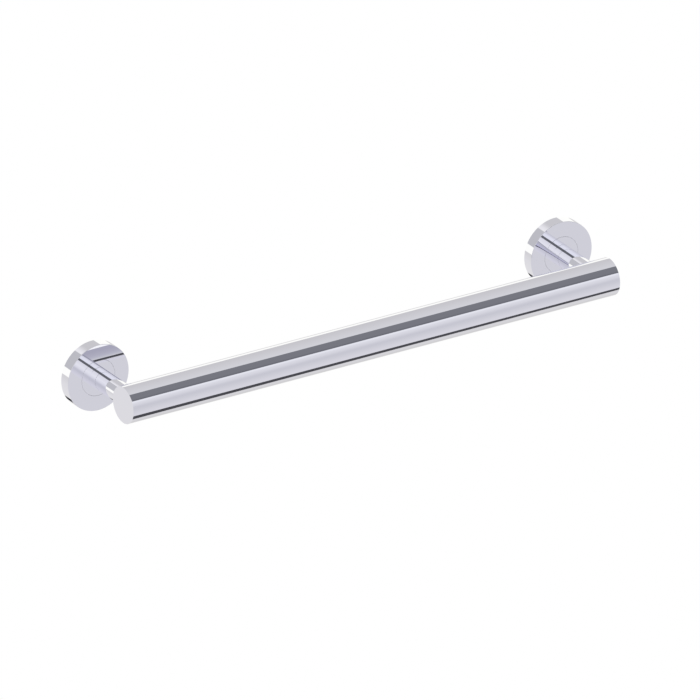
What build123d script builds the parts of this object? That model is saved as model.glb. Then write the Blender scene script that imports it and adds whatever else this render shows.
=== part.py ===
from build123d import *
import os

# Straight grab bar on two round wall flanges, in millimetres.
# +X runs along the bar to the right, +Y into the wall, +Z up.
# The origin is the centre of the left wall fixing, on the wall's surface.
# A "depth" is a distance out of the wall, along -Y.

# Bar
post_spacing = 450.0
bar_diameter = 32.0
bar_wall = 1.5
bar_overhang = 11.5
bar_standoff = 67.0
cap_thickness = 2.0
cap_plug_length = 3.0
cap_edge = 0.4

# Post
post_diameter = 18.0
root_diameter = 15.0
root_length = 9.0
root_groove = 0.8
post_edge = 0.2

# Cover
cover_diameter = 59.0
cover_depth = 10.5
cover_wall = 1.5
cover_edge_radius = 0.3

# Wall flange
hub_diameter = 32.0
plate_thickness = 4.0
wall_hole_count = 3
wall_hole_diameter = 5.5
ring_groove_width = 2.4
joint_edge = 0.1
plate_edge = 0.3

# Seals
gasket_thickness = 1.0
gasket_web = 1.4
o_ring_section = 2.0

# Fasteners
bolt_diameter = 6.0
bolt_head_diameter = 10.0
bolt_head_height = 4.0
bolt_socket = 4.0
bolt_socket_depth = 2.3
bolt_end = 0.5
bolt_past_nut = 0.5
washer_diameter = 9.9
washer_thickness = 1.6
washer_slit = 1.0
washer_slit_angle = 20.0
nut_height = 8.0
nut_width = 14.0
nut_edge = 0.5
grub_diameter = 4.0
grub_socket = 2.0
grub_socket_depth = 2.0
grub_tip_radius = 0.3

# Clearances, each on one side
tube_fit = 0.05
cover_fit = 0.1
root_fit = 0.05
thread_fit = 0.05
saddle_fit = 0.05
ring_fit = 0.05
plate_fit = 0.5
bolt_play = 0.3
washer_play = 0.1
head_play = 0.3
head_setback = 0.4
grub_setback = 0.4
point_play = 0.1
nut_play = 0.5

# Worked out from the sizes above
bar_radius = bar_diameter / 2
bore_radius = bar_radius - bar_wall
post_radius = post_diameter / 2
root_radius = root_diameter / 2
cover_radius = cover_diameter / 2
cover_inner_radius = cover_radius - cover_wall
hub_radius = hub_diameter / 2
plate_radius = cover_inner_radius - plate_fit
plate_front = gasket_thickness + plate_thickness
ring_groove_radius = cover_inner_radius - o_ring_section - 2 * ring_fit
wall_hole_circle = hub_radius + cover_inner_radius - o_ring_section
wall_hole_radius = wall_hole_diameter / 2
gasket_inner_radius = wall_hole_circle / 2 - wall_hole_radius - gasket_web
grub_depth = (plate_front + cover_depth) / 2
groove_floor = root_radius - root_groove
bolt_radius = bolt_diameter / 2
bolt_hole_radius = bolt_radius + bolt_play
head_radius = bolt_head_diameter / 2
head_recess_radius = head_radius + head_play
root_end = cover_depth - root_length
head_back = root_end + head_setback
head_front = head_back + bolt_head_height
recess_floor = head_front + washer_thickness
nut_far_face = bar_standoff - bore_radius + nut_height
nut_length = 2 * (bar_overhang - cap_thickness - cap_plug_length - nut_play)


def wall_plane(post_x, depth=0.0):
    """A plane parallel to the wall: local X is along the bar, local Y is up, local Z is out of the wall."""
    return Plane(origin=(post_x, -depth, 0), x_dir=(1, 0, 0), z_dir=(0, -1, 0))


def turning_plane(post_x):
    """The level plane through a post's axis: local X is the radius, local Y is the depth."""
    return Plane(origin=(post_x, 0, 0), x_dir=(1, 0, 0), z_dir=(0, 0, -1))


def post_axis(post_x):
    return Axis((post_x, 0, 0), (0, -1, 0))


def section_plane(x):
    """A plane square to the bar, centred on the bar's axis: local X is out to the wall, local Y is up."""
    return Plane(origin=(x, -bar_standoff, 0), x_dir=(0, 1, 0), z_dir=(1, 0, 0))


def below_plane(post_x, distance=0.0):
    """A plane that looks down out of the hub: local Z is the distance below the post's axis."""
    return Plane(origin=(post_x, -grub_depth, -distance), x_dir=(1, 0, 0), z_dir=(0, 0, -1))


def save(piece, name):
    piece.part.label = name
    export_step(piece.part, f"parts/{name}.step")


def make_bar_tube():
    """The tube, with one hole toward the wall at each post for the tie bolt."""
    length = post_spacing + 2 * (bar_overhang - cap_thickness)
    with BuildPart() as tube:
        with BuildSketch(section_plane(cap_thickness - bar_overhang)):
            Circle(bar_radius)
            Circle(bore_radius, mode=Mode.SUBTRACT)
        extrude(amount=length)
        for post_x in (0.0, post_spacing):
            with BuildSketch(wall_plane(post_x, bar_standoff - bar_radius - bar_wall)):
                Circle(bolt_hole_radius)
            extrude(amount=bar_radius + bar_wall, mode=Mode.SUBTRACT)
    return tube


def make_end_cap(face_x, inward):
    """A turned cap: a disc as wide as the bar and a plug that presses into the bore."""
    with BuildPart() as cap:
        with BuildSketch(section_plane(face_x)):
            Circle(bar_radius)
        extrude(amount=inward * cap_thickness)
        chamfer(cap.faces().sort_by(Axis.X)[0 if inward > 0 else -1].edges(), cap_edge)
        with BuildSketch(section_plane(face_x + inward * cap_thickness)):
            Circle(bore_radius - tube_fit)
        extrude(amount=inward * cap_plug_length)
        chamfer(cap.faces().sort_by(Axis.X)[-1 if inward > 0 else 0].edges(), cap_edge)
    return cap


def make_post(post_x):
    """A turned post: its root locks in the hub, its far end is coped to the bar's round."""
    with BuildPart() as post:
        with BuildSketch(turning_plane(post_x)):
            with BuildLine():
                Polyline(
                    (0, root_end),
                    (root_radius, root_end),
                    (root_radius, grub_depth - root_groove),
                    (groove_floor, grub_depth),
                    (root_radius, grub_depth + root_groove),
                    (root_radius, cover_depth),
                    (post_radius - post_edge, cover_depth),
                    (post_radius, cover_depth + post_edge),
                    (post_radius, bar_standoff),
                    (0, bar_standoff),
                    close=True,
                )
            make_face()
        revolve(axis=post_axis(post_x))
        with BuildSketch(section_plane(post_x)):
            Circle(bar_radius + saddle_fit)
        extrude(amount=post_diameter, both=True, mode=Mode.SUBTRACT)
        with BuildSketch(wall_plane(post_x, root_end)):
            Circle(bolt_hole_radius)
        extrude(amount=bar_standoff, mode=Mode.SUBTRACT)
        with BuildSketch(wall_plane(post_x, root_end)):
            Circle(head_recess_radius)
        extrude(amount=recess_floor - root_end, mode=Mode.SUBTRACT)
    return post


def make_cover(post_x):
    """A shallow turned cup with a bore that slides over the hub."""
    bore = hub_radius + cover_fit
    with BuildPart() as cover:
        with BuildSketch(turning_plane(post_x)):
            with BuildLine():
                Polyline(
                    (cover_inner_radius, 0),
                    (cover_radius, 0),
                    (cover_radius, cover_depth),
                    (bore, cover_depth),
                    (bore, cover_depth - cover_wall),
                    (cover_inner_radius, cover_depth - cover_wall),
                    close=True,
                )
            make_face()
        revolve(axis=post_axis(post_x))
        front = cover.edges().filter_by(GeomType.CIRCLE).group_by(Axis.Y)[0].sort_by(SortBy.RADIUS)
        fillet(front[-1], cover_edge_radius)
        front = cover.edges().filter_by(GeomType.CIRCLE).group_by(Axis.Y)[0].sort_by(SortBy.RADIUS)
        chamfer(front[0], joint_edge)
    return cover


def make_wall_flange(post_x):
    """A turned flange: a plate with the wall holes and a ring groove in its rim, and the hub for the post."""
    groove_low = gasket_thickness + (plate_thickness - ring_groove_width) / 2
    groove_high = groove_low + ring_groove_width
    with BuildPart() as flange:
        with BuildSketch(turning_plane(post_x)):
            with BuildLine():
                Polyline(
                    (root_radius + root_fit, gasket_thickness),
                    (plate_radius - plate_edge, gasket_thickness),
                    (plate_radius, gasket_thickness + plate_edge),
                    (plate_radius, groove_low),
                    (ring_groove_radius, groove_low),
                    (ring_groove_radius, groove_high),
                    (plate_radius, groove_high),
                    (plate_radius, plate_front - plate_edge),
                    (plate_radius - plate_edge, plate_front),
                    (hub_radius, plate_front),
                    (hub_radius, cover_depth - joint_edge),
                    (hub_radius - joint_edge, cover_depth),
                    (root_radius + root_fit, cover_depth),
                    close=True,
                )
            make_face()
        revolve(axis=post_axis(post_x))
        with BuildSketch(wall_plane(post_x, gasket_thickness)):
            with PolarLocations(wall_hole_circle / 2, wall_hole_count, start_angle=90):
                Circle(wall_hole_radius)
        extrude(amount=plate_thickness, mode=Mode.SUBTRACT)
        with BuildSketch(below_plane(post_x)):
            Circle(grub_diameter / 2 + thread_fit)
        extrude(amount=hub_diameter, mode=Mode.SUBTRACT)
    return flange


def make_gasket(post_x):
    """A flat sealing ring between the plate and the wall."""
    with BuildPart() as gasket:
        with BuildSketch(wall_plane(post_x)):
            Circle(plate_radius)
            Circle(gasket_inner_radius, mode=Mode.SUBTRACT)
            with PolarLocations(wall_hole_circle / 2, wall_hole_count, start_angle=90):
                Circle(wall_hole_radius, mode=Mode.SUBTRACT)
        extrude(amount=gasket_thickness)
    return gasket


def make_o_ring(post_x):
    """A square-cut rubber ring in the plate's rim that grips the cover."""
    centre = (cover_inner_radius - ring_fit - o_ring_section / 2, gasket_thickness + plate_thickness / 2)
    with BuildPart() as ring:
        with BuildSketch(turning_plane(post_x)):
            with Locations(centre):
                Rectangle(o_ring_section, o_ring_section)
        revolve(axis=post_axis(post_x))
    return ring


def make_grub_screw(post_x):
    """A cone-point grub screw that goes up through the hub into the groove of the post's root."""
    tip = groove_floor + grub_tip_radius + point_play
    outer = hub_radius - grub_setback
    radius = grub_diameter / 2
    cone_end = tip + radius - grub_tip_radius
    profile_plane = Plane(origin=(post_x, -grub_depth, 0), x_dir=(1, 0, 0), z_dir=(0, 1, 0))
    with BuildPart() as screw:
        with BuildSketch(profile_plane):
            with BuildLine():
                Polyline(
                    (0, tip),
                    (grub_tip_radius, tip),
                    (radius, cone_end),
                    (radius, outer),
                    (0, outer),
                    close=True,
                )
            make_face()
        revolve(axis=Axis((post_x, -grub_depth, 0), (0, 0, 1)))
        with BuildSketch(below_plane(post_x, outer)):
            RegularPolygon(grub_socket / 2, 6, major_radius=False)
        extrude(amount=-grub_socket_depth, mode=Mode.SUBTRACT)
    return screw


def make_tie_bolt(post_x):
    """A low-headed socket screw from the post's root to the nut inside the bar."""
    with BuildPart() as bolt:
        with BuildSketch(wall_plane(post_x, head_back)):
            Circle(head_radius)
        extrude(amount=bolt_head_height)
        with BuildSketch(wall_plane(post_x, head_front)):
            Circle(bolt_radius)
        extrude(amount=nut_far_face + bolt_past_nut - head_front)
        chamfer(bolt.faces().sort_by(Axis.Y)[0].edges(), bolt_end)
        chamfer(bolt.faces().sort_by(Axis.Y)[-1].edges(), bolt_end)
        with BuildSketch(wall_plane(post_x, head_back)):
            RegularPolygon(bolt_socket / 2, 6, major_radius=False)
        extrude(amount=bolt_socket_depth, mode=Mode.SUBTRACT)
    return bolt


def make_spring_washer(post_x):
    """A split ring under the bolt's head, its slit cut on the slant."""
    middle = (washer_diameter / 2 + bolt_radius) / 2
    slit_plane = Plane(origin=(post_x + middle, -(head_front + washer_thickness / 2), 0), z_dir=(1, 0, 0))
    with BuildPart() as washer:
        with BuildSketch(wall_plane(post_x, head_front)):
            Circle(washer_diameter / 2)
            Circle(bolt_radius + washer_play, mode=Mode.SUBTRACT)
        extrude(amount=washer_thickness)
        with BuildSketch(slit_plane.rotated((0, 0, washer_slit_angle))):
            Rectangle(3 * washer_thickness, washer_slit)
        extrude(amount=washer_diameter / 2, both=True, mode=Mode.SUBTRACT)
    return washer


def make_saddle_nut(post_x):
    """A threaded block inside the bar, curved on the side that bears on the bore."""
    crown = bore_radius - tube_fit
    with BuildPart() as nut:
        with BuildSketch(section_plane(post_x)):
            Circle(crown)
            with Locations((crown - nut_height / 2, 0)):
                Rectangle(nut_height, nut_width, mode=Mode.INTERSECT)
        extrude(amount=nut_length / 2, both=True)
        chamfer(nut.faces().sort_by(Axis.Y)[0].edges(), nut_edge)
        with BuildSketch(wall_plane(post_x, bar_standoff - bar_radius)):
            Circle(bolt_radius + thread_fit)
        extrude(amount=bar_radius, mode=Mode.SUBTRACT)
    return nut


os.makedirs("parts", exist_ok=True)

save(make_bar_tube(), "bar_tube")
save(make_end_cap(-bar_overhang, 1), "end_cap_left")
save(make_end_cap(post_spacing + bar_overhang, -1), "end_cap_right")

for side, post_x in (("left", 0.0), ("right", post_spacing)):
    save(make_post(post_x), f"post_{side}")
    save(make_cover(post_x), f"cover_{side}")
    save(make_wall_flange(post_x), f"wall_flange_{side}")
    save(make_gasket(post_x), f"gasket_{side}")
    save(make_o_ring(post_x), f"o_ring_{side}")
    save(make_grub_screw(post_x), f"grub_screw_{side}")
    save(make_tie_bolt(post_x), f"tie_bolt_{side}")
    save(make_spring_washer(post_x), f"spring_washer_{side}")
    save(make_saddle_nut(post_x), f"saddle_nut_{side}")
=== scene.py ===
import bpy
import bmesh
from math import cos, pi, radians, sin
from mathutils import Matrix, Vector


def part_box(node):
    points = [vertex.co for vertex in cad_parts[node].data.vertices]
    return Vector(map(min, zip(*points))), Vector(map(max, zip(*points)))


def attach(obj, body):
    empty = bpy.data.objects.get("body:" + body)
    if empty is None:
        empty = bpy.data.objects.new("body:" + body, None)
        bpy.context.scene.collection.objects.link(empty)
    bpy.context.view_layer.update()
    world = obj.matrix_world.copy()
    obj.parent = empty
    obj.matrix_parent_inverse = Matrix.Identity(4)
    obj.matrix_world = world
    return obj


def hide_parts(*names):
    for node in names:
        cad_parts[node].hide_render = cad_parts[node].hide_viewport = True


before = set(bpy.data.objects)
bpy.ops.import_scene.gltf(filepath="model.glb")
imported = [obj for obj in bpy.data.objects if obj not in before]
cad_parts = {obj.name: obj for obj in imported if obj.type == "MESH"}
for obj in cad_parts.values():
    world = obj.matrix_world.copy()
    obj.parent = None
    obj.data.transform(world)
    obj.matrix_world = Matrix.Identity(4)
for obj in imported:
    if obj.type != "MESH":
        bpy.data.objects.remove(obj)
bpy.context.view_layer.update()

# A chromed grab bar, in metres. +X runs along the bar to the right, +Y into the wall, +Z up.
# A "depth" is a distance out of the wall, along -Y.

MM = 0.001
OUT = Vector((0, -1, 0))
ALONG = Vector((1, 0, 0))
UP = Vector((0, 0, 1))

# Read from the frame
SIDES = ("left", "right")
tube_low, tube_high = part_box("bar_tube")
bar_low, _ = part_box("end_cap_left")
_, bar_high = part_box("end_cap_right")
cover_low, cover_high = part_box("cover_left")
post_low, post_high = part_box("post_left")
flange_low, flange_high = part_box("wall_flange_left")
gasket_low, gasket_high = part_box("gasket_left")
o_ring_low, o_ring_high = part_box("o_ring_left")
grub_low, grub_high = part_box("grub_screw_left")
bolt_low, bolt_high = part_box("tie_bolt_left")
washer_low, washer_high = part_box("spring_washer_left")
nut_low, nut_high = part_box("saddle_nut_left")
post_x = {side: sum(corner.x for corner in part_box(f"post_{side}")) / 2 for side in SIDES}
post_spacing = post_x["right"] - post_x["left"]
bar_radius = (tube_high.y - tube_low.y) / 2
bar_standoff = -(tube_high.y + tube_low.y) / 2
post_radius = (post_high.z - post_low.z) / 2
root_end = -post_high.y
cover_radius = (cover_high.z - cover_low.z) / 2
cover_depth = cover_high.y - cover_low.y
plate_radius = (flange_high.z - flange_low.z) / 2
gasket_thickness = gasket_high.y - gasket_low.y
o_ring_radius = (o_ring_high.z - o_ring_low.z) / 2
o_ring_section = o_ring_high.y - o_ring_low.y
grub_radius = (grub_high.y - grub_low.y) / 2
grub_depth = -(grub_high.y + grub_low.y) / 2
head_radius = (bolt_high.z - bolt_low.z) / 2
washer_radius = (washer_high.z - washer_low.z) / 2
nut_width = nut_high.z - nut_low.z

# Sizes that no box gives
bar_wall = 1.5 * MM
tube_fit = 0.05 * MM
bolt_radius = 3 * MM
bolt_hole_radius = 3.3 * MM
cap_thickness = 2 * MM
cap_plug_length = 3 * MM
cap_edge = 0.15 * MM
cap_plug_edge = 0.4 * MM
root_radius = 7.5 * MM
root_fit = 0.05 * MM
root_groove = 0.8 * MM
head_recess_radius = 5.3 * MM
head_height = 4 * MM
saddle_fit = 0.05 * MM
post_edge = 0.2 * MM
cover_wall = 1.5 * MM
cover_edge_radius = 0.3 * MM
cover_fit = 0.1 * MM
hub_radius = 16 * MM
plate_thickness = 4 * MM
plate_edge = 0.3 * MM
joint_edge = 0.06 * MM
ring_groove_width = 2.4 * MM
ring_groove_radius = 25.9 * MM
wall_hole_radius = 2.75 * MM
wall_hole_edge = 0.2 * MM
wall_hole_circle = 21 * MM
wall_hole_count = 3
gasket_inner_radius = 16.85 * MM
rubber_edge = 0.15 * MM
steel_edge = 0.2 * MM
bolt_end = 0.5 * MM
bolt_socket = 4 * MM
bolt_socket_depth = 2.3 * MM
bolt_pitch = 1 * MM
bolt_thread_length = 14 * MM
grub_socket = 2 * MM
grub_socket_depth = 2 * MM
grub_pitch = 0.7 * MM
grub_tip_radius = 0.3 * MM
grub_tip_chamfer = 0.5 * MM
grub_end_chamfer = 0.3 * MM
core_play = 0.02 * MM
shell_overlap = 0.5 * MM
washer_bore = 3.1 * MM
washer_slit = 1 * MM
washer_slit_angle = radians(20)
nut_hole_radius = 3.05 * MM
nut_hole_edge = 0.4 * MM
nut_edge = 0.5 * MM

# A thread's V profile, in shares of its pitch
THREAD_DEPTH = 0.54
ROOT_FLAT = 1 / 4
CREST_START = 9 / 16
CREST_END = 11 / 16
THREAD_SPARE_TURNS = 3

# How near counts as the same place
WELD = 0.001 * MM
THREAD_WELD = 0.002 * MM
SLICE_FIT = 0.0001 * MM
ON_SPOT = 0.01 * MM

# How far a cutting tool runs past a piece, and how many times the washer's thickness the slit's tool is long
TOOL_PAST = 1 * MM
SLIT_TOOL_STRETCH = 3

# Mesh fineness
TURN_STEPS = 192
BAR_STEPS = 256
SMALL_STEPS = 64
HOLE_STEPS = 48
THREAD_STEPS = 40
EDGE_STEPS = 3
SMALL_EDGE_STEPS = 2
CHAMFER_STEPS = 1
ROUND_PROFILE = 0.5
SADDLE_RINGS = 8
SMOOTH_ANGLE = radians(32)


# Node helpers

class Tree:
    """Short calls that add nodes to one node tree and link them."""

    def __init__(self, tree):
        self.tree = tree
        self.tree.nodes.clear()

    def add(self, kind, **settings):
        node = self.tree.nodes.new(kind)
        for name, value in settings.items():
            setattr(node, name, value)
        return node

    def feed(self, socket, value):
        if isinstance(value, bpy.types.NodeSocket):
            self.tree.links.new(value, socket)
        else:
            socket.default_value = value

    def math(self, operation, *values):
        node = self.add("ShaderNodeMath", operation=operation)
        for socket, value in zip(node.inputs, values):
            self.feed(socket, value)
        return node.outputs[0]

    def dot(self, vector, direction):
        node = self.add("ShaderNodeVectorMath", operation="DOT_PRODUCT")
        self.feed(node.inputs[0], vector)
        self.feed(node.inputs[1], direction)
        return node.outputs["Value"]

    def ramp(self, value, low, high, start=0.0, end=1.0, smooth=True):
        """Start below low, end above high, and a smooth or a straight change between them."""
        node = self.add("ShaderNodeMapRange", interpolation_type="SMOOTHSTEP" if smooth else "LINEAR")
        numbers = {"Value": value, "From Min": low, "From Max": high, "To Min": start, "To Max": end}
        for name, number in numbers.items():
            self.feed(node.inputs[name], number)
        return node.outputs["Result"]

    def stops(self, value, *places):
        """Colours at places along the value, which runs from -1 to 1, and straight changes between them."""
        node = self.add("ShaderNodeValToRGB")
        self.feed(node.inputs["Fac"], self.ramp(value, -1, 1, smooth=False))
        elements = node.color_ramp.elements
        elements.remove(elements[-1])
        for index, (place, colour) in enumerate(places):
            element = elements[0] if index == 0 else elements.new((place + 1) / 2)
            element.position = (place + 1) / 2
            element.color = colour
        return node.outputs["Color"]

    def mix_value(self, factor, below, above):
        node = self.add("ShaderNodeMix", data_type="FLOAT")
        self.feed(node.inputs["Factor"], factor)
        self.feed(node.inputs["A"], below)
        self.feed(node.inputs["B"], above)
        return node.outputs["Result"]

    def mix(self, factor, below, above):
        node = self.add("ShaderNodeMix", data_type="RGBA")
        self.feed(node.inputs["Factor"], factor)
        self.feed(node.inputs["A"], below)
        self.feed(node.inputs["B"], above)
        return node.outputs["Result"]

    def overlap(self, *masks):
        """1 where all the masks are 1."""
        result = masks[0]
        for mask in masks[1:]:
            result = self.math("MULTIPLY", result, mask)
        return result

    def plain_shader(self, kind, colour):
        node = self.add(kind)
        self.feed(node.inputs["Color"], colour)
        return node.outputs[0]

    def mix_shader(self, factor, below, above):
        node = self.add("ShaderNodeMixShader")
        for socket, value in zip(node.inputs, (factor, below, above)):
            self.feed(socket, value)
        return node.outputs[0]

    def show(self, kind, shader):
        """Feeds the shader to the tree's output node."""
        self.feed(self.add(kind).inputs["Surface"], shader)


WHITE = (1, 1, 1, 1)
CHROME_COLOUR = (0.93, 0.93, 0.99)


def linear(value):
    """A value as it shows on the screen, 0 to 255, as a linear one."""
    share = value / 255
    return share / 12.92 if share <= 0.04045 else ((share + 0.055) / 1.055) ** 2.4


def seen(red, green, blue):
    """The light that shows as this colour, 0 to 255, where chrome mirrors it once."""
    return (*(linear(value) / tint for value, tint in zip((red, green, blue), CHROME_COLOUR)), 1.0)


# Studio

# Walls, ground and cards round the object, which the camera sees only mirrored. They hang on the ray's
# direction, as if they were far away, and on how often it was mirrored. Across, behind and height are the
# ray's shares along +X, +Y and +Z.

BACK_WALL = seen(253, 253, 253)
DARK_CARD = seen(118, 119, 128)
DARK_CARD_LIP = seen(102, 103, 112)
DARK_STRIP = seen(99, 100, 106)
RIGHT_CARD = seen(198, 197, 203)
RIGHT_CARD_LIP = seen(209, 209, 216)
CARD_GAP = seen(231, 230, 237)
LEFT_CARD = seen(187, 187, 195)
LOW_CARD = seen(45, 45, 50)
FLOOR_STRIP = seen(71, 71, 77)
FLOOR_STRIP_SHADE = seen(25, 25, 28)
BAR_IN_POST = seen(160, 160, 172)
GROUND_AGAIN_LEFT = seen(192, 191, 208)

# Colours at heights. The lane is a narrow stretch of the ground. The last ones are for a second mirroring.
WALL_RIGHT = (
    (-0.65, seen(213, 212, 222)), (-0.30, seen(203, 203, 213)),
    (-0.11, seen(198, 198, 209)), (0.00, seen(200, 200, 211)),
    (0.17, seen(211, 211, 221)), (0.35, seen(218, 218, 228)),
    (0.42, seen(228, 229, 239)))
WALL_LEFT = (
    (-0.65, seen(213, 212, 222)), (-0.28, seen(197, 197, 207)),
    (-0.12, seen(199, 199, 209)), (0.10, seen(222, 222, 230)),
    (0.34, seen(233, 233, 239)), (0.60, seen(223, 223, 230)))
GROUND_SIDES = (
    (-0.62, seen(222, 221, 226)), (-0.42, seen(219, 218, 224)), (-0.20, seen(210, 209, 214)))
GROUND_LANE = (
    (-0.87, seen(213, 212, 217)), (-0.79, seen(203, 202, 206)), (-0.70, seen(214, 213, 217)),
    (-0.30, seen(215, 214, 219)))
GROUND_AGAIN = (
    (-0.87, seen(210, 209, 212)), (-0.78, seen(198, 198, 205)), (-0.68, seen(186, 186, 198)),
    (-0.51, seen(179, 178, 191)), (-0.15, seen(171, 170, 185)))

# A ray's glossy depth is 1 where it was mirrored once and 2 where twice
AGAIN = (1.4, 1.6)
SECOND_MIRROR = 1.5

# Where one field turns into the next: from none of the second one to all of it
ON_LEFT = (0.05, -0.05)
WALL_TO_LEFT = (0.3, -0.25)
WALL_TO_BACK = (-0.1, 0.2)
LANE_LEFT = (0.42, 0.44)
LANE_RIGHT = (0.52, 0.50)
RIGHT_CARD_TO_LIP = (0.7, -0.12)
RIGHT_CARD_TO_GAP = (0.24, -0.26)
DARK_CARD_TO_LIP = (-0.85, -1.35)
BAR_IN_POST_ACROSS = (0.54, 0.58)
BAR_IN_POST_BEHIND = (-0.55, -0.35)

# The ceiling's slants are taken at this height at the least, so that they stay finite
LEAST_HEIGHT = 0.05

# Sharp edges: planes through the object, each given by the direction that it faces
EDGE_SOFTNESS = 0.006
UNDER_BAND = (0.0227, -0.177, -1)
UNDER_BAND_LANE = (0, 0.03, -1)
UNDER_BAND_AGAIN = (0, 0.135, -1)
GROUND_START = (0, 1, -0.45)
GROUND_START_AGAIN = (0, 1, -0.15)
STRIP_START = (0, 1, -0.054)
STRIP_END = (0, -1, -0.325)
STRIP_END_LEFT = (0, -1, -0.60)
LOW_CARD_EDGES = ((1, -0.08, 0), (-1, 0.34, 0), (0, -0.6, -1), (0, 1, 0.5))
CEILING_EDGES = ((-0.2035, -0.3264, 1), (0, 0, 1))
DOWN_SIDE = (0, 0, -1)
BEHIND_LINE = (0, 1, 0.1998)
AHEAD_LINE = (0, -1, -0.1998)
RIGHT_CARD_EDGE = (1, 0, 0.30)
LEFT_CARD_EDGE = (-1, 0, -0.315)
LEFT_CARD_SOFTNESS = 0.02
DARK_CARD_EDGE = (0.294, 1, 1.127)
DARK_STRIP_EDGES = ((1, 0, 0.231), (-1, 0, 0.249), (0, 1, 1.6))


class Studio(Tree):
    """The world's node tree, and what it knows of a mirrored ray."""

    def __init__(self, tree):
        super().__init__(tree)
        unit = self.add("ShaderNodeVectorMath", operation="NORMALIZE")
        self.feed(unit.inputs[0], self.add("ShaderNodeTexCoord").outputs["Generated"])
        self.ray = unit.outputs["Vector"]
        self.light_path = self.add("ShaderNodeLightPath")
        self.again = self.ramp(self.light_path.outputs["Glossy Depth"], *AGAIN)
        self.across = self.dot(self.ray, tuple(ALONG))
        self.behind = self.dot(self.ray, tuple(-OUT))
        self.height = self.dot(self.ray, tuple(UP))
        self.on_left = self.ramp(self.across, *ON_LEFT)

    def side_of(self, edge, softness=EDGE_SOFTNESS):
        """1 where the ray is on the side that the edge's plane faces."""
        return self.ramp(self.dot(self.ray, tuple(Vector(edge).normalized())), -softness, softness)

    def inside(self, edges):
        """1 where the ray is on that side of all the edges."""
        return self.overlap(*(self.side_of(edge) for edge in edges))


def add_walls(t):
    """The front wall, pale high on the left and lavender on the right, and the white back wall."""
    front = t.mix(
        t.ramp(t.across, *WALL_TO_LEFT), t.stops(t.height, *WALL_RIGHT), t.stops(t.height, *WALL_LEFT))
    return t.mix(t.ramp(t.behind, *WALL_TO_BACK), front, BACK_WALL)


def add_ground(t, colour):
    """The ground behind the object, a dark strip and a low card. A second mirroring has its own ground."""
    lane = t.overlap(t.ramp(t.across, *LANE_LEFT), t.ramp(t.across, *LANE_RIGHT))
    ground_once = t.mix(lane, t.stops(t.height, *GROUND_SIDES), t.stops(t.height, *GROUND_LANE))
    ground_again = t.mix(t.on_left, t.stops(t.height, *GROUND_AGAIN), GROUND_AGAIN_LEFT)
    under_band = t.mix_value(lane, t.side_of(UNDER_BAND), t.side_of(UNDER_BAND_LANE))
    under_band = t.mix_value(t.again, under_band, t.side_of(UNDER_BAND_AGAIN))
    ground_start = t.mix_value(t.again, t.side_of(GROUND_START), t.side_of(GROUND_START_AGAIN))
    colour = t.mix(
        t.overlap(under_band, ground_start), colour, t.mix(t.again, ground_once, ground_again))
    right_strip = t.inside((STRIP_START, STRIP_END))
    left_strip = t.inside((STRIP_START, STRIP_END_LEFT))
    strip = t.overlap(t.again, t.mix_value(t.on_left, right_strip, left_strip), t.side_of(DOWN_SIDE))
    colour = t.mix(strip, colour, t.mix(t.on_left, FLOOR_STRIP, FLOOR_STRIP_SHADE))
    return t.mix(t.inside(LOW_CARD_EDGES), colour, LOW_CARD)


def add_ceiling_cards(t, colour):
    """The cards under the ceiling: two pale ones behind, a dark one with a darker strip in front."""
    ceiling = t.inside(CEILING_EDGES)
    level = t.math("MAXIMUM", t.height, LEAST_HEIGHT)
    slant = t.math("DIVIDE", t.across, level)
    lean = t.math("DIVIDE", t.behind, level)
    right_card = t.mix(t.ramp(t.behind, *RIGHT_CARD_TO_LIP, smooth=False), RIGHT_CARD, RIGHT_CARD_LIP)
    right_card = t.mix(t.ramp(slant, *RIGHT_CARD_TO_GAP), right_card, CARD_GAP)
    rear = t.overlap(ceiling, t.side_of(BEHIND_LINE))
    colour = t.mix(t.overlap(rear, t.side_of(RIGHT_CARD_EDGE)), colour, right_card)
    colour = t.mix(t.overlap(rear, t.side_of(LEFT_CARD_EDGE, LEFT_CARD_SOFTNESS)), colour, LEFT_CARD)
    ahead = t.overlap(ceiling, t.side_of(AHEAD_LINE))
    dark_card = t.mix(t.ramp(lean, *DARK_CARD_TO_LIP), DARK_CARD, DARK_CARD_LIP)
    colour = t.mix(t.overlap(ahead, t.side_of(DARK_CARD_EDGE)), colour, dark_card)
    return t.mix(t.overlap(ahead, t.inside(DARK_STRIP_EDGES)), colour, DARK_STRIP)


def add_bar_in_post(t, colour):
    """What the left post's right edge mirrors of the bar's back."""
    bar_in_post = t.overlap(
        t.again, t.ramp(t.across, *BAR_IN_POST_ACROSS), t.ramp(t.behind, *BAR_IN_POST_BEHIND))
    return t.mix(bar_in_post, colour, BAR_IN_POST)


def build_world():
    """The studio for mirrored rays, and plain white for the camera."""
    world = bpy.data.worlds.new("studio")
    world.use_nodes = True
    bpy.context.scene.world = world
    t = Studio(world.node_tree)
    colour = add_walls(t)
    colour = add_ground(t, colour)
    colour = add_ceiling_cards(t, colour)
    colour = add_bar_in_post(t, colour)
    seen_by_camera = t.light_path.outputs["Is Camera Ray"]
    mirrored = t.plain_shader("ShaderNodeBackground", colour)
    backdrop = t.plain_shader("ShaderNodeBackground", WHITE)
    t.show("ShaderNodeOutputWorld", t.mix_shader(seen_by_camera, mirrored, backdrop))


# Materials

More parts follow.
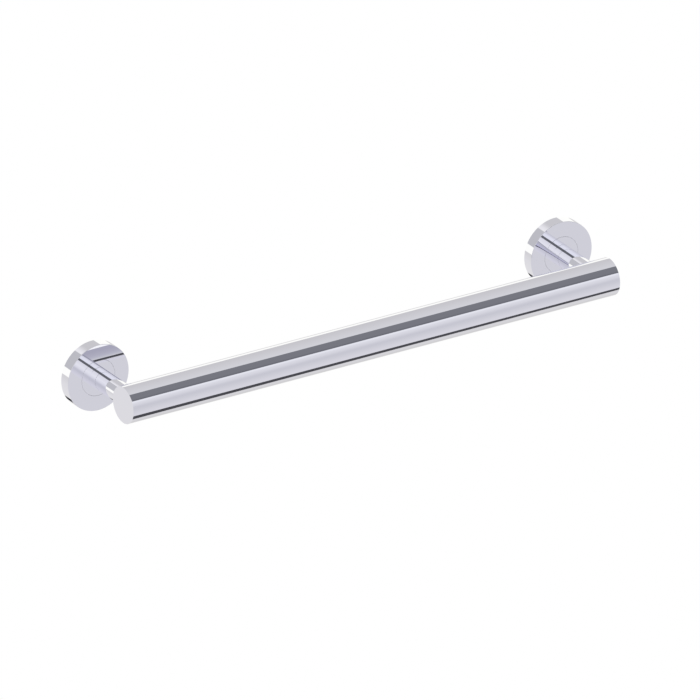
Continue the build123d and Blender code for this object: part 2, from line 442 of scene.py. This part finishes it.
# A finish has so many patches to a metre, and the roughness of its smoothest and of its roughest places.
STEEL_COLOUR = (0.62, 0.61, 0.59)
BLACK = (0.03, 0.03, 0.03)
GREY = (0.22, 0.22, 0.23)
POLISHED = {"Patches": 30, "Smoothest": 0.012, "Roughest": 0.028}
TURNED = {"Patches": 60, "Smoothest": 0.16, "Roughest": 0.24}
SATIN = {"Patches": 180, "Smoothest": 0.24, "Roughest": 0.36}
MOULDED = {"Patches": 120, "Smoothest": 0.5, "Roughest": 0.62}
SHEET = {"Patches": 120, "Smoothest": 0.75, "Roughest": 0.9}
PATCH_DETAIL = 3
PATCH_NOISE = (0.35, 0.65)
turned_ring_width = 0.12 * MM
turned_ring_depth = 0.004 * MM
satin_ring_width = 0.08 * MM
satin_ring_depth = 0.003 * MM
RING_DETAIL = 2
MOULDED_PORES = 4000
moulded_pore_depth = 0.01 * MM
SHEET_PORES = 1600
sheet_pore_depth = 0.05 * MM
PORE_DETAIL = 4
PORE_NOISE = (0.3, 0.6)

# How far behind the hub's face the polish ends and the lathe's finish starts
polish_end = 0.15 * MM
turned_start = 0.25 * MM


def new_group(name, inputs, outputs):
    """A node group with number inputs and outputs, and one vector input for the place on the piece."""
    group = bpy.data.node_groups.new(name, "ShaderNodeTree")
    group.interface.new_socket("Place", in_out="INPUT", socket_type="NodeSocketVector")
    for socket in inputs:
        group.interface.new_socket(socket, in_out="INPUT", socket_type="NodeSocketFloat")
    for socket in outputs:
        group.interface.new_socket(socket, in_out="OUTPUT", socket_type="NodeSocketFloat")
    t = Tree(group)
    return group, t, t.add("NodeGroupInput"), t.add("NodeGroupOutput")


def make_uneven_finish():
    """A roughness that wanders between two values in soft patches."""
    group, t, given, result = new_group("uneven_finish", ("Patches", "Smoothest", "Roughest"), ("Roughness",))
    cloud = t.add("ShaderNodeTexNoise")
    cloud.inputs["Detail"].default_value = PATCH_DETAIL
    t.feed(cloud.inputs["Vector"], given.outputs["Place"])
    t.feed(cloud.inputs["Scale"], given.outputs["Patches"])
    limits = given.outputs["Smoothest"], given.outputs["Roughest"]
    t.feed(result.inputs["Roughness"], t.ramp(cloud.outputs["Fac"], *PATCH_NOISE, *limits))
    return group


def make_lathe_rings():
    """The height of fine rings round the nearer post's axis, as a turning tool leaves them."""
    group, t, given, result = new_group("lathe_rings", ("Ring Width",), ("Height",))
    place = t.add("ShaderNodeSeparateXYZ")
    t.feed(place.inputs[0], given.outputs["Place"])
    nearer_post = t.math("ROUND", t.math("DIVIDE", place.outputs["X"], post_spacing))
    sideways = t.math("SUBTRACT", place.outputs["X"], t.math("MULTIPLY", nearer_post, post_spacing))
    square = t.math("ADD", t.math("POWER", sideways, 2), t.math("POWER", place.outputs["Z"], 2))
    rings = t.add("ShaderNodeTexNoise", noise_dimensions="1D")
    rings.inputs["Scale"].default_value = 1
    rings.inputs["Detail"].default_value = RING_DETAIL
    t.feed(rings.inputs["W"], t.math("DIVIDE", t.math("SQRT", square), given.outputs["Ring Width"]))
    t.feed(result.inputs["Height"], rings.outputs["Fac"])
    return group


def make_pores():
    """The height of the fine pores and grains of a rubber's skin."""
    group, t, given, result = new_group("rubber_pores", ("Pores",), ("Height",))
    grain = t.add("ShaderNodeTexNoise")
    grain.inputs["Detail"].default_value = PORE_DETAIL
    t.feed(grain.inputs["Vector"], given.outputs["Place"])
    t.feed(grain.inputs["Scale"], given.outputs["Pores"])
    t.feed(result.inputs["Height"], t.ramp(grain.outputs["Fac"], *PORE_NOISE))
    return group


uneven_finish = make_uneven_finish()
lathe_rings = make_lathe_rings()
rubber_pores = make_pores()


def principled(name, base_colour, metallic=0.0):
    """A material with one Principled BSDF, and the piece's own place as the pattern's place."""
    material = bpy.data.materials.new(name)
    material.use_nodes = True
    t = Tree(material.node_tree)
    shader = t.add("ShaderNodeBsdfPrincipled")
    shader.inputs["Base Color"].default_value = (*base_colour, 1)
    shader.inputs["Metallic"].default_value = metallic
    t.show("ShaderNodeOutputMaterial", shader.outputs[0])
    return material, t, shader, t.add("ShaderNodeTexCoord").outputs["Object"]


def place_group(t, group, place, **values):
    node = t.add("ShaderNodeGroup")
    node.node_tree = group
    t.feed(node.inputs["Place"], place)
    for name, value in values.items():
        t.feed(node.inputs[name.replace("_", " ")], value)
    return node.outputs[0]


def add_bump(t, shader, height, depth, strength=1.0):
    bump = t.add("ShaderNodeBump")
    bump.inputs["Distance"].default_value = depth
    t.feed(bump.inputs["Strength"], strength)
    t.feed(bump.inputs["Height"], height)
    t.feed(shader.inputs["Normal"], bump.outputs["Normal"])


def make_polished_chrome():
    material, t, shader, place = principled("mirror_chrome", CHROME_COLOUR, 1)
    t.feed(shader.inputs["Roughness"], place_group(t, uneven_finish, place, **POLISHED))
    return material


def make_turned_chrome():
    """Bright on the hub's face, with the lathe's rings left on the rest."""
    material, t, shader, place = principled("lathe_chrome", CHROME_COLOUR, 1)
    parts = t.add("ShaderNodeSeparateXYZ")
    t.feed(parts.inputs[0], place)
    behind_face = t.ramp(parts.outputs["Y"], -cover_depth + polish_end, -cover_depth + turned_start)
    bright = place_group(t, uneven_finish, place, **POLISHED)
    dull = place_group(t, uneven_finish, place, **TURNED)
    t.feed(shader.inputs["Roughness"], t.mix_value(behind_face, bright, dull))
    rings = place_group(t, lathe_rings, place, Ring_Width=turned_ring_width)
    add_bump(t, shader, rings, turned_ring_depth, behind_face)
    return material


def make_stainless():
    material, t, shader, place = principled("satin_steel", STEEL_COLOUR, 1)
    t.feed(shader.inputs["Roughness"], place_group(t, uneven_finish, place, **SATIN))
    rings = place_group(t, lathe_rings, place, Ring_Width=satin_ring_width)
    add_bump(t, shader, rings, satin_ring_depth)
    return material


def make_rubber(name, colour, finish, pores, pore_depth):
    """A matt rubber with so many pores to a metre."""
    material, t, shader, place = principled(name, colour)
    t.feed(shader.inputs["Roughness"], place_group(t, uneven_finish, place, **finish))
    add_bump(t, shader, place_group(t, rubber_pores, place, Pores=pores), pore_depth)
    return material


build_world()
chrome = make_polished_chrome()
turned_chrome = make_turned_chrome()
stainless = make_stainless()
black_rubber = make_rubber("moulded_rubber", BLACK, MOULDED, MOULDED_PORES, moulded_pore_depth)
grey_rubber = make_rubber("sheet_rubber", GREY, SHEET, SHEET_PORES, sheet_pore_depth)


# Shapes

def place_mesh(name, bm):
    """Makes the bmesh an object of the scene."""
    mesh = bpy.data.meshes.new(name)
    bm.to_mesh(mesh)
    bm.free()
    item = bpy.data.objects.new(name, mesh)
    bpy.context.scene.collection.objects.link(item)
    return item


def finish_piece(name, bm, material, nodes):
    """Turns the bmesh into a piece that rides on the frame and stands for the CAD nodes."""
    piece = place_mesh(name, bm)
    piece.data.shade_smooth()
    piece.data.set_sharp_from_angle(angle=SMOOTH_ANGLE)
    piece.data.materials.append(material)
    weighted = piece.modifiers.new("flat_faces", "WEIGHTED_NORMAL")
    weighted.keep_sharp = True
    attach(piece, "root")
    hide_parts(*nodes)


def square_to(axis):
    """A direction at right angles to an axis that runs along X, Y or Z."""
    return ALONG if axis.z else UP


def turn(points, centre, axis, steps, closed=True):
    """A turned shape. Each point is (radius, distance from the centre along the axis)."""
    bm = bmesh.new()
    out = square_to(axis)
    verts = [bm.verts.new(centre + out * radius + axis * distance) for radius, distance in points]
    ends = verts[1:] + verts[:1] if closed else verts[1:]
    edges = [bm.edges.new(pair) for pair in zip(verts, ends)]
    bmesh.ops.spin(bm, geom=verts + edges, cent=centre, axis=axis, angle=2 * pi, steps=steps, use_merge=True)
    bmesh.ops.remove_doubles(bm, verts=bm.verts, dist=WELD)
    bmesh.ops.recalc_face_normals(bm, faces=bm.faces)
    return bm


def ring_edges(bm, centre, axis, radius, distance):
    """The circle of edges at this radius and this distance along the axis."""
    def on_ring(vert):
        arm = vert.co - centre
        along = arm.dot(axis)
        spoke = (arm - axis * along).length
        return abs(along - distance) < ON_SPOT and abs(spoke - radius) < ON_SPOT
    return [edge for edge in bm.edges if all(on_ring(v) for v in edge.verts)]


def bevel(bm, edges, size, steps):
    bmesh.ops.bevel(
        bm, geom=edges, offset=size, offset_type="OFFSET", segments=steps, profile=ROUND_PROFILE,
        affect="EDGES", material=-1)


def round_edge(bm, centre, axis, radius, distance, size, steps=EDGE_STEPS):
    bevel(bm, ring_edges(bm, centre, axis, radius, distance), size, steps)


def cylinder(centre, axis, radius, start, end, steps=HOLE_STEPS):
    return turn([(0, start), (radius, start), (radius, end), (0, end)], centre, axis, steps, closed=False)


def through_hole(centre, axis, radius, length, edge):
    """The tool for a hole with a small flare at both mouths. The centre is at the first mouth."""
    mouth = radius + edge + TOOL_PAST
    first, last = -TOOL_PAST, length + TOOL_PAST
    return turn(
        [(0, first), (mouth, first), (radius, edge), (radius, length - edge), (mouth, last), (0, last)],
        centre, axis, HOLE_STEPS, closed=False)


def hexagon_prism(centre, axis, width, start, end):
    """The tool for a hexagon socket, its width measured across the flats."""
    radius = width / 2 / cos(pi / 6)
    return cylinder(centre, axis, radius, start, end, steps=6)


def cut(bm, tools):
    """Takes the tools' shapes out of the mesh."""
    body = place_mesh("body", bm)
    knives = [place_mesh("knife", tool) for tool in tools]
    for knife in knives:
        modifier = body.modifiers.new("cut", "BOOLEAN")
        modifier.operation = "DIFFERENCE"
        modifier.solver = "EXACT"
        modifier.object = knife
    result = bmesh.new()
    result.from_object(body, bpy.context.evaluated_depsgraph_get())
    for item in [body, *knives]:
        mesh = item.data
        bpy.data.objects.remove(item)
        bpy.data.meshes.remove(mesh)
    return result


def join(*shapes):
    """Puts closed shells together in one mesh."""
    result = bmesh.new()
    for shape in shapes:
        mesh = bpy.data.meshes.new("shell")
        shape.to_mesh(mesh)
        shape.free()
        result.from_mesh(mesh)
        bpy.data.meshes.remove(mesh)
    return result


def slice_off(bm, place, direction):
    """Takes off what lies past a plane, and returns the edges of the cut."""
    geometry = bm.verts[:] + bm.edges[:] + bm.faces[:]
    sliced = bmesh.ops.bisect_plane(
        bm, geom=geometry, dist=SLICE_FIT, plane_co=place, plane_no=direction, clear_outer=True)
    return [item for item in sliced["geom_cut"] if isinstance(item, bmesh.types.BMEdge)]


def screw_thread(centre, axis, radius, pitch, start, end, chamfer_start, chamfer_end):
    """A threaded length: one pitch of the V profile wound along the axis, cut flat and chamfered."""
    root = radius - THREAD_DEPTH * pitch
    turns = int((end - start) / pitch) + THREAD_SPARE_TURNS
    first = start - THREAD_SPARE_TURNS / 2 * pitch
    out = square_to(axis)
    profile = [(root, 0), (root, ROOT_FLAT), (radius, CREST_START), (radius, CREST_END), (root, 1)]
    bm = bmesh.new()
    verts = [bm.verts.new(centre + out * r + axis * (first + share * pitch)) for r, share in profile]
    edges = [bm.edges.new(pair) for pair in zip(verts, verts[1:])]
    bmesh.ops.spin(
        bm, geom=verts + edges, cent=centre, axis=axis, dvec=axis * pitch / THREAD_STEPS,
        angle=2 * pi * turns, steps=THREAD_STEPS * turns)
    bmesh.ops.remove_doubles(bm, verts=bm.verts, dist=THREAD_WELD)
    for distance, direction in ((start, -axis), (end, axis)):
        rim = slice_off(bm, centre + axis * distance, direction)
        bmesh.ops.contextual_create(bm, geom=rim)
    for vert in bm.verts:
        arm = vert.co - centre
        along = arm.dot(axis)
        spoke = arm - axis * along
        limit = min(
            radius - chamfer_start + (along - start) if chamfer_start else radius,
            radius - chamfer_end + (end - along) if chamfer_end else radius)
        if spoke.length > limit:
            vert.co = centre + axis * along + spoke * (limit / spoke.length)
    bmesh.ops.recalc_face_normals(bm, faces=bm.faces)
    return bm


def build_bar():
    """The tube, open at both ends for the caps, with a hole for the tie bolt at each post."""
    start = Vector((tube_low.x, -bar_standoff, 0))
    length = tube_high.x - tube_low.x
    bore = bar_radius - bar_wall
    middles = [post_x[side] - tube_low.x for side in SIDES]
    beside_posts = sorted(middle + step for middle in middles for step in (-post_radius, post_radius))
    beside_posts = [distance for distance in beside_posts if 0 < distance < length]
    outside = [(bar_radius, distance) for distance in [0, *beside_posts, length]]
    inside = [(bore, distance) for distance in [length, *reversed(beside_posts), 0]]
    bm = turn(outside + inside, start, ALONG, BAR_STEPS)
    hole_start = bar_standoff - bar_radius - bar_wall
    holes = [
        cylinder(Vector((post_x[side], 0, 0)), OUT, bolt_hole_radius, hole_start, bar_standoff)
        for side in SIDES]
    finish_piece("bar_skin", cut(bm, holes), chrome, ["bar_tube"])


def build_cap(side):
    """An end cap: a disc flush with the tube, and its plug in the bore."""
    inward = 1 if side == "left" else -1
    face = Vector((bar_low.x if side == "left" else bar_high.x, -bar_standoff, 0))
    axis = ALONG * inward
    plug = bar_radius - bar_wall - tube_fit
    far = cap_thickness + cap_plug_length
    bm = turn(
        [(0, 0), (bar_radius, 0), (bar_radius, cap_thickness), (plug, cap_thickness), (plug, far), (0, far)],
        face, axis, BAR_STEPS, closed=False)
    round_edge(bm, face, axis, bar_radius, 0, cap_edge)
    round_edge(bm, face, axis, plug, far, cap_plug_edge)
    finish_piece(f"cap_{side}", bm, chrome, [f"end_cap_{side}"])


def build_post(side):
    """The post: its root with the locking groove, the rod, and the far end coped to the bar's round."""
    wall = Vector((post_x[side], 0, 0))
    recess_floor = -washer_low.y
    ring_step = (post_radius - bolt_hole_radius) / SADDLE_RINGS
    far_end = [(post_radius - ring * ring_step, bar_standoff) for ring in range(SADDLE_RINGS + 1)]
    bm = turn(
        [
            (head_recess_radius, root_end), (root_radius, root_end),
            (root_radius, grub_depth - root_groove), (root_radius - root_groove, grub_depth),
            (root_radius, grub_depth + root_groove), (root_radius, cover_depth),
            (post_radius - post_edge, cover_depth), (post_radius, cover_depth + post_edge),
            *far_end, (bolt_hole_radius, recess_floor), (head_recess_radius, recess_floor),
        ],
        wall, OUT, TURN_STEPS)
    cope = bar_radius + saddle_fit
    for vert in bm.verts:
        if abs(vert.co.y + bar_standoff) < ON_SPOT:
            vert.co.y += (cope ** 2 - vert.co.z ** 2) ** 0.5
    finish_piece(f"rod_{side}", bm, chrome, [f"post_{side}"])


def build_cover(side):
    """The cover: a shallow cup with a rounded front edge and a bore round the hub."""
    wall = Vector((post_x[side], 0, 0))
    bore = hub_radius + cover_fit
    inner = cover_radius - cover_wall
    bm = turn(
        [
            (inner, 0), (cover_radius, 0), (cover_radius, cover_depth), (bore, cover_depth),
            (bore, cover_depth - cover_wall), (inner, cover_depth - cover_wall),
        ],
        wall, OUT, TURN_STEPS)
    round_edge(bm, wall, OUT, cover_radius, cover_depth, cover_edge_radius)
    round_edge(bm, wall, OUT, bore, cover_depth, joint_edge, CHAMFER_STEPS)
    finish_piece(f"cup_{side}", bm, chrome, [f"cover_{side}"])


def wall_hole_centres(side, depth):
    """The wall holes' centres, one of them at the top."""
    for index in range(wall_hole_count):
        angle = pi / 2 + index * 2 * pi / wall_hole_count
        yield Vector((post_x[side] + wall_hole_circle * cos(angle), -depth, wall_hole_circle * sin(angle)))


def build_flange(side):
    """The wall flange: a plate with its ring groove and wall holes, and the hub with its cross hole."""
    wall = Vector((post_x[side], 0, 0))
    plate_front = gasket_thickness + plate_thickness
    groove_low = gasket_thickness + (plate_thickness - ring_groove_width) / 2
    groove_high = groove_low + ring_groove_width
    root_bore = root_radius + root_fit
    bm = turn(
        [
            (root_bore, gasket_thickness), (plate_radius - plate_edge, gasket_thickness),
            (plate_radius, gasket_thickness + plate_edge), (plate_radius, groove_low),
            (ring_groove_radius, groove_low), (ring_groove_radius, groove_high),
            (plate_radius, groove_high), (plate_radius, plate_front - plate_edge),
            (plate_radius - plate_edge, plate_front), (hub_radius, plate_front),
            (hub_radius, cover_depth - joint_edge), (hub_radius - joint_edge, cover_depth),
            (root_bore, cover_depth),
        ],
        wall, OUT, TURN_STEPS)
    tools = [
        through_hole(centre, OUT, wall_hole_radius, plate_thickness, wall_hole_edge)
        for centre in wall_hole_centres(side, gasket_thickness)]
    cross = Vector((post_x[side], -grub_depth, 0))
    tools.append(cylinder(cross, -UP, grub_radius + root_fit, 0, hub_radius + TOOL_PAST))
    finish_piece(f"plate_{side}", cut(bm, tools), turned_chrome, [f"wall_flange_{side}"])


def build_gasket(side):
    """The flat sealing ring, punched for the wall screws."""
    wall = Vector((post_x[side], 0, 0))
    bm = turn(
        [
            (gasket_inner_radius, 0), (plate_radius, 0),
            (plate_radius, gasket_thickness), (gasket_inner_radius, gasket_thickness),
        ],
        wall, OUT, TURN_STEPS)
    tools = [
        cylinder(centre, OUT, wall_hole_radius, -TOOL_PAST, gasket_thickness + TOOL_PAST)
        for centre in wall_hole_centres(side, 0)]
    finish_piece(f"sealing_sheet_{side}", cut(bm, tools), grey_rubber, [f"gasket_{side}"])


def build_o_ring(side):
    """The square-cut ring in the plate's rim, its corners just broken."""
    wall = Vector((post_x[side], 0, 0))
    inner = o_ring_radius - o_ring_section
    low = -o_ring_high.y
    high = -o_ring_low.y
    corners = [(inner, low), (o_ring_radius, low), (o_ring_radius, high), (inner, high)]
    bm = turn(corners, wall, OUT, TURN_STEPS)
    for radius in (inner, o_ring_radius):
        for depth in (low, high):
            round_edge(bm, wall, OUT, radius, depth, rubber_edge, SMALL_EDGE_STEPS)
    finish_piece(f"square_ring_{side}", bm, black_rubber, [f"o_ring_{side}"])


def build_grub_screw(side):
    """The locking screw: threaded, with a cone point and a hexagon socket."""
    start = Vector((post_x[side], -grub_depth, 0))
    tip = -grub_high.z
    outer = -grub_low.z
    cone_end = tip + grub_radius - grub_tip_radius
    thread = screw_thread(
        start, -UP, grub_radius, grub_pitch, cone_end - shell_overlap, outer,
        grub_tip_chamfer, grub_end_chamfer)
    socket = hexagon_prism(start, -UP, grub_socket, outer - grub_socket_depth, outer + TOOL_PAST)
    thread = cut(thread, [socket])
    core = grub_radius - THREAD_DEPTH * grub_pitch - core_play
    core_end = tip + core - grub_tip_radius
    point = turn(
        [(0, tip), (grub_tip_radius, tip), (core, core_end), (core, cone_end), (0, cone_end)],
        start, -UP, SMALL_STEPS, closed=False)
    finish_piece(f"locking_screw_{side}", join(thread, point), stainless, [f"grub_screw_{side}"])


def build_tie_bolt(side):
    """The long socket screw: a low head, a plain shank and a threaded end."""
    wall = Vector((post_x[side], 0, 0))
    head_back = -bolt_high.y
    head_front = head_back + head_height
    far_end = -bolt_low.y
    thread_start = far_end - bolt_thread_length
    body = turn(
        [
            (0, head_back), (head_radius, head_back), (head_radius, head_front), (bolt_radius, head_front),
            (bolt_radius, thread_start), (0, thread_start),
        ],
        wall, OUT, SMALL_STEPS, closed=False)
    round_edge(body, wall, OUT, head_radius, head_back, bolt_end, SMALL_EDGE_STEPS)
    round_edge(body, wall, OUT, head_radius, head_front, steel_edge, CHAMFER_STEPS)
    round_edge(body, wall, OUT, bolt_radius, thread_start, bolt_end, CHAMFER_STEPS)
    socket = hexagon_prism(wall, OUT, bolt_socket, head_back - TOOL_PAST, head_back + bolt_socket_depth)
    body = cut(body, [socket])
    thread = screw_thread(
        wall, OUT, bolt_radius, bolt_pitch, thread_start - shell_overlap, far_end, bolt_end, bolt_end)
    finish_piece(f"long_screw_{side}", join(body, thread), stainless, [f"tie_bolt_{side}"])


def build_spring_washer(side):
    """The split ring under the head, its slit cut on the slant."""
    wall = Vector((post_x[side], 0, 0))
    low = -washer_high.y
    high = -washer_low.y
    bm = turn(
        [(washer_bore, low), (washer_radius, low), (washer_radius, high), (washer_bore, high)],
        wall, OUT, SMALL_STEPS)
    for radius in (washer_bore, washer_radius):
        for depth in (low, high):
            round_edge(bm, wall, OUT, radius, depth, steel_edge, SMALL_EDGE_STEPS)
    slit = bmesh.new()
    slit_length = SLIT_TOOL_STRETCH * (high - low)
    bmesh.ops.create_cube(slit, size=1)
    bmesh.ops.scale(slit, vec=(washer_radius, slit_length, washer_slit), verts=slit.verts)
    slant = Matrix.Rotation(washer_slit_angle, 3, "X")
    bmesh.ops.rotate(slit, cent=(0, 0, 0), matrix=slant, verts=slit.verts)
    middle = (washer_radius + washer_bore) / 2
    bmesh.ops.translate(slit, vec=wall + ALONG * middle + OUT * (low + high) / 2, verts=slit.verts)
    finish_piece(f"split_ring_{side}", cut(bm, [slit]), stainless, [f"spring_washer_{side}"])


def build_saddle_nut(side):
    """The threaded block inside the bar, round on the side that bears on the bore."""
    crown = bar_radius - bar_wall - tube_fit
    nut_start = nut_low.x + post_x[side] - post_x["left"]
    nut_length = nut_high.x - nut_low.x
    bm = bmesh.new()
    bmesh.ops.create_circle(bm, cap_ends=True, segments=BAR_STEPS, radius=crown)
    bmesh.ops.rotate(bm, cent=(0, 0, 0), matrix=Matrix.Rotation(pi / 2, 3, "Y"), verts=bm.verts)
    for direction, distance in ((-UP, nut_width / 2), (UP, nut_width / 2), (OUT, -nut_low.y - bar_standoff)):
        slice_off(bm, direction * distance, direction)
    bmesh.ops.translate(bm, vec=(nut_start, -bar_standoff, 0), verts=bm.verts)
    grown = bmesh.ops.extrude_face_region(bm, geom=bm.faces[:])
    moved = [item for item in grown["geom"] if isinstance(item, bmesh.types.BMVert)]
    bmesh.ops.translate(bm, vec=ALONG * nut_length, verts=moved)
    bmesh.ops.recalc_face_normals(bm, faces=bm.faces)
    flat_side = [edge for edge in bm.edges if all(abs(v.co.y - nut_low.y) < ON_SPOT for v in edge.verts)]
    bevel(bm, flat_side, nut_edge, CHAMFER_STEPS)
    first_mouth = Vector((post_x[side], -bar_standoff + crown, 0))
    hole = through_hole(first_mouth, OUT, nut_hole_radius, nut_high.y - nut_low.y, nut_hole_edge)
    finish_piece(f"bar_nut_{side}", cut(bm, [hole]), stainless, [f"saddle_nut_{side}"])


build_bar()
for side in SIDES:
    build_cap(side)
    build_post(side)
    build_cover(side)
    build_flange(side)
    build_gasket(side)
    build_o_ring(side)
    build_grub_screw(side)
    build_tie_bolt(side)
    build_spring_washer(side)
    build_saddle_nut(side)


# Camera: a view without perspective, from the left and above

CAMERA_AZIMUTH = radians(-32.2)
CAMERA_ELEVATION = radians(24.9)
CAMERA_DISTANCE = 1.2
PICTURE_SIZE = 700
METRES_PER_PIXEL = 0.8224 * MM
LEFT_FIXING_PIXEL = (91.6, 373.1)

to_camera = Vector((
    sin(CAMERA_AZIMUTH) * cos(CAMERA_ELEVATION),
    -cos(CAMERA_AZIMUTH) * cos(CAMERA_ELEVATION),
    sin(CAMERA_ELEVATION)))


def build_camera():
    right = Vector((cos(CAMERA_AZIMUTH), sin(CAMERA_AZIMUTH), 0))
    upward = to_camera.cross(right)
    aim = Vector((post_x["left"], 0, 0))
    aim += right * (PICTURE_SIZE / 2 - LEFT_FIXING_PIXEL[0]) * METRES_PER_PIXEL
    aim += upward * (LEFT_FIXING_PIXEL[1] - PICTURE_SIZE / 2) * METRES_PER_PIXEL
    data = bpy.data.cameras.new("studio_camera")
    data.type = "ORTHO"
    data.ortho_scale = PICTURE_SIZE * METRES_PER_PIXEL
    camera = bpy.data.objects.new("studio_camera", data)
    bpy.context.scene.collection.objects.link(camera)
    camera.location = aim + to_camera * CAMERA_DISTANCE
    camera.rotation_mode = "QUATERNION"
    camera.rotation_quaternion = (-to_camera).to_track_quat("-Z", "Y")
    bpy.context.scene.camera = camera


# Floor, with a dark strip on it in front. It is as far down as it usually is where such bars are fixed.

FLOOR_DROP = 0.85
FLOOR_SIZE = 12.0
FLOOR_COLOUR = (0.8, 0.8, 0.8, 1)

# The strip's far and near edges are given by where the bar's round shows them at each end, as shares of the
# bar's radius below its middle.
STRIP_EDGES = {"left": (0.690, 0.830), "right": (0.6835, 0.783)}
STRIP_RUN_ON = 0.06


def stage_material(name):
    material = bpy.data.materials.new(name)
    material.use_nodes = True
    return material, Tree(material.node_tree)


def build_floor():
    """A matt pale floor that the camera sees as white. The chrome mirrors the studio's ground instead."""
    bm = bmesh.new()
    bmesh.ops.create_grid(bm, x_segments=1, y_segments=1, size=FLOOR_SIZE / 2)
    bmesh.ops.translate(bm, verts=bm.verts, vec=(0, 0, -FLOOR_DROP))
    floor = place_mesh("studio_floor", bm)
    material, t = stage_material("pale_floor")
    seen_by_camera = t.add("ShaderNodeLightPath").outputs["Is Camera Ray"]
    matt = t.plain_shader("ShaderNodeBsdfDiffuse", FLOOR_COLOUR)
    white = t.plain_shader("ShaderNodeEmission", WHITE)
    t.show("ShaderNodeOutputMaterial", t.mix_shader(seen_by_camera, matt, white))
    floor.data.materials.append(material)
    floor.visible_glossy = False


def mirrored_floor_point(along_bar, share):
    """The point of the floor that the bar mirrors here, at this share of its radius below its middle."""
    facing = (to_camera - ALONG * to_camera.x).normalized()
    below = ALONG.cross(facing)
    normal = facing * (1 - share ** 2) ** 0.5 + below * share
    start = Vector((along_bar, -bar_standoff, 0)) + normal * bar_radius
    ray = (-to_camera).reflect(normal)
    return start + ray * ((start.z + FLOOR_DROP) / -ray.z)


def build_floor_strip():
    """A dark strip that only the chrome's first mirror image shows. It runs on a little at both ends."""
    corners = []
    for left_share, right_share in zip(STRIP_EDGES["left"], STRIP_EDGES["right"]):
        left = mirrored_floor_point(bar_low.x, left_share)
        right = mirrored_floor_point(bar_high.x, right_share)
        run_on = (right - left) * STRIP_RUN_ON
        corners += [left - run_on, right + run_on]
    bm = bmesh.new()
    far_left, far_right, near_left, near_right = [bm.verts.new(corner) for corner in corners]
    bm.faces.new((far_left, far_right, near_right, near_left))
    strip = place_mesh("floor_strip", bm)
    material, t = stage_material("dark_strip")
    depth = t.add("ShaderNodeLightPath").outputs["Glossy Depth"]
    again = t.math("GREATER_THAN", depth, SECOND_MIRROR)
    dark = t.plain_shader("ShaderNodeEmission", FLOOR_STRIP)
    clear = t.plain_shader("ShaderNodeBsdfTransparent", WHITE)
    t.show("ShaderNodeOutputMaterial", t.mix_shader(again, dark, clear))
    strip.data.materials.append(material)
    strip.visible_camera = False
    strip.visible_diffuse = False
    strip.visible_shadow = False


build_floor()
build_floor_strip()
build_camera()
bpy.context.scene.view_settings.view_transform = "Standard"
